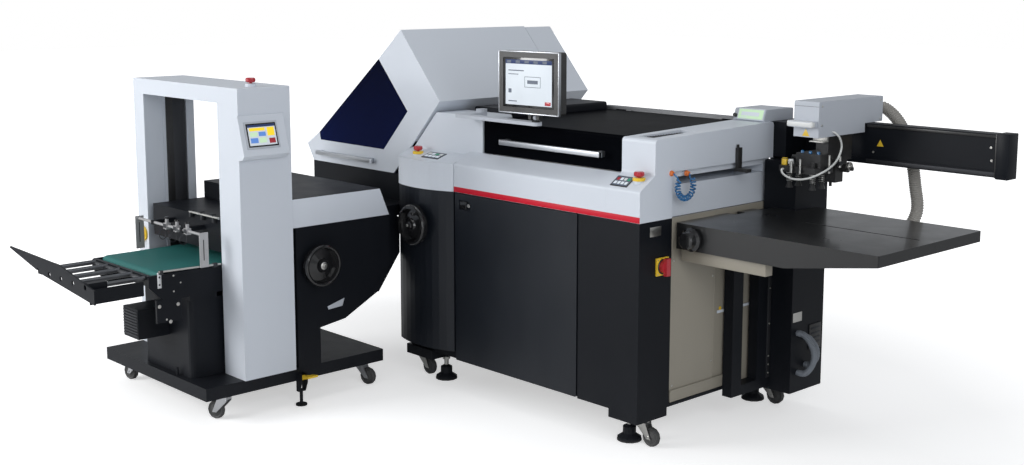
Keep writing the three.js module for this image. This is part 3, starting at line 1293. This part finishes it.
function deliveryStop() {
  const d = delivery;
  const s = stop;
  const blade = s.blade.map(([along, up]) => [d.left + along, d.railZ + up]);
  const face = cut(prism(blade, 'y', d.railEnd - s.front, d.railEnd - s.back), ...d.rails.map(x =>
    rod('y', d.railRadius + play, d.railEnd - s.front - overrun, d.railEnd, [x, d.railZ], d.railSides)));
  const sleeves = [d.rails[0], d.rails.at(-1)].map(x => cut(
    block([x - s.sleeve, d.railEnd - s.back - seat, d.railZ - s.sleeve],
      [x + s.sleeve, d.railEnd + s.sleeveReach, d.railZ + s.sleeve]),
    rod('y', d.railRadius + play, d.railEnd - s.front, d.railEnd + s.bore, [x, d.railZ], d.railSides)));
  const a = s.arm;
  const arm = block([d.right + a.gap, d.railEnd - s.front, a.low],
    [d.right + a.gap + a.thickness, d.railEnd + a.reach, a.high]);
  return join(face, ...sleeves, arm);
}

function sideGuides() {
  const g = guideShaft;
  const p = g.plate;
  const shaft = rod('x', g.radius, g.left, g.right, [g.y, g.z], g.sides);
  const plates = [g.left, g.right - p.thickness].map(x =>
    block([x, g.y + p.from, g.z + p.low], [x + p.thickness, g.y + p.to, g.z + p.high]));
  const clamps = g.clamps.map(along => block(
    [g.left + along, g.y - g.clamp.half, g.z - g.clamp.low],
    [g.left + along + g.clamp.width, g.y + g.clamp.half, g.z + g.clamp.high]));
  const knobs = g.clamps.map(along => rod('z', g.knob.radius, g.z + g.knob.from, g.z + g.knob.to,
    [g.left + along + g.clamp.width / 2, g.y], g.knob.sides));
  return join(shaft, ...plates, ...clamps, ...knobs);
}

const panel = {
  ahead: 7, in: 40, low: 284, high: 106, foot: [38, 276], brow: [50, 262], round: 4, crown: 6,
};
panel.from = gantry.front - panel.ahead;
panel.to = gantry.back - panel.in;

function stackerConsole() {
  const x = gantry.right + seat;
  const p = panel;
  return prism([
    [x, gantry.top - p.low], [x + p.foot[0], gantry.top - p.foot[1], p.round],
    [x + p.brow[0], gantry.top - p.brow[1], p.round], [x + p.crown, gantry.top - p.high],
      [x, gantry.top - p.high],
  ], 'y', p.from, p.to);
}

// Casters: a swivel head with a trailing fork, and a wheel that turns on the fork's axle

const caster = {
  radius: 37, width: 24, axle: 4, leg: 3, legGap: 1.5, trail: 40, head: 24, headHeight: 11, crown: 7, hub: 12,
  shoulder: 4, tip: 10, lift: 8, edge: 3, round: 4, sides: 12,
};
const casterShares = { web: 0.72, dish: 0.6 };
const casterTurns = { main: [0, 8, 0, 5], stacker: [200, 15, 190, 20] };
const casterInsets = {
  main: [[45, 90], [38, 78], [9, 84], [9, 80]],
  stacker: [[43, 104], [78, 63], [73, 102], [38, 63]],
};
const corners = ['front_right', 'back_right', 'front_left', 'back_left'];

// Places inside a plate's corners, in the order of the corners' names
const insideCorners = ({ left, right, front, back }, insets) => insets.map(([along, deep], i) => [
  i < 2 ? right - along : left + along, i % 2 ? back - deep : front + deep]);
const mainStems = insideCorners(cabinet, casterInsets.main);
const stackerStems = insideCorners(deck, casterInsets.stacker);

function casterFork(height) {
  const c = caster;
  const side = c.width / 2 + c.legGap;
  const under = height - seat - c.headHeight;
  const crownTop = under + overrun / 2;
  const crown = block([-c.head, -side - c.leg, under - c.crown], [c.head, side + c.leg, crownTop]);
  const legs = [-side - c.leg, side].map(y => prism([
    [-c.head, under], [-c.head, under - c.crown - c.shoulder], [c.trail - c.tip, c.radius - c.lift],
    [c.trail + c.tip, c.radius - c.lift], [c.head, under - c.crown], [c.head, under],
  ], 'y', y, y + c.leg));
  return join(
    rod('z', c.head, under, height - seat, [0, 0], c.sides), crown, ...legs,
    rod('y', c.axle, -side - c.leg * 2, side + c.leg * 2, [c.trail, c.radius], 8));
}

function casterWheel(bore) {
  const c = caster;
  const [half, rim, dish] = [c.width / 2, c.radius * casterShares.web, c.width / 2 * casterShares.dish];
  return turned([
    [bore, -half], [c.hub, -half], [rim, -dish], [c.radius - c.edge, -half], [c.radius, -half + c.round],
    [c.radius, half - c.round], [c.radius - c.edge, half], [rim, dish], [c.hub, half], [bore, half],
      [bore, -half],
  ], 'y', [c.trail, c.radius], c.sides);
}

function placeCaster(mesh, [x, y], turn) {
  mesh.position.set(x, y, 0);
  mesh.rotation.z = THREE.MathUtils.degToRad(turn);
}

corners.forEach((corner, i) => {
  const [main, stacker] = [casterTurns.main[i], casterTurns.stacker[i]];
  placeCaster(piece(`caster_${corner}`,
    join(casterFork(casterHeight), casterWheel(caster.axle / 2)), wheelRubber), mainStems[i], main);
  placeCaster(piece(`stacker_fork_${corner}`, casterFork(deck.bottom), steel), stackerStems[i], stacker);
  placeCaster(piece(`stacker_wheel_${corner}`, casterWheel(caster.axle + seat), wheelRubber),
    stackerStems[i], stacker);
});

piece('stacker_base', stackerBase(), blackPaint);
piece('floor_lock_pedal', lockPedal(), yellowPlastic);
piece('stacker_gantry', stackerGantry(), lightPaint);
piece('stacker_body', stackerBody(), blackPaint);
piece('stacker_handwheel', turned(
  wheelProfile(pressWheel.front, pressWheel.radius, handwheel.shaft, handwheel.depth,
    pressWheel.faceAt, pressWheel.endAt).map(([radius, along]) => [radius, -along]).reverse(),
  'x', pressWheel.place, handwheel.sides), blackPlastic);
piece('delivery_frame', deliveryFrame(), blackPaint);
piece('delivery_belt', deliveryBelt(), beltTeal);
piece('delivery_rails', deliveryRails(), steel);
piece('delivery_stop', deliveryStop(), greyPaint);
piece('side_guides', sideGuides(), castAlloy);
piece('stacker_console', stackerConsole(), lightPaint);
piece('stacker_switch_knob', join(
  rod('y', stackerSwitch.knob, gantry.front - stackerSwitch.depth, gantry.front - mainSwitch.boss - seat,
    [stackerSwitch.x, stackerSwitch.z]),
  block([stackerSwitch.x - stackerSwitch.grip[0],
    gantry.front - stackerSwitch.depth - stackerSwitch.gripDepth,
    stackerSwitch.z - stackerSwitch.grip[1]],
  [stackerSwitch.x + stackerSwitch.grip[0], gantry.front - stackerSwitch.depth + overrun / 2,
    stackerSwitch.z + stackerSwitch.grip[1]]),
), redPlastic);
emergencyButton('emergency_button_stacker', stackerStop);

// The origin goes to the middle of the machine, at the floor

const whole = new THREE.Box3().setFromObject(machine);
machine.position.set(-(whole.min.x + whole.max.x) / 2, -(whole.min.y + whole.max.y) / 2, -whole.min.z);
machine.updateMatrixWorld(true);

export default machine;
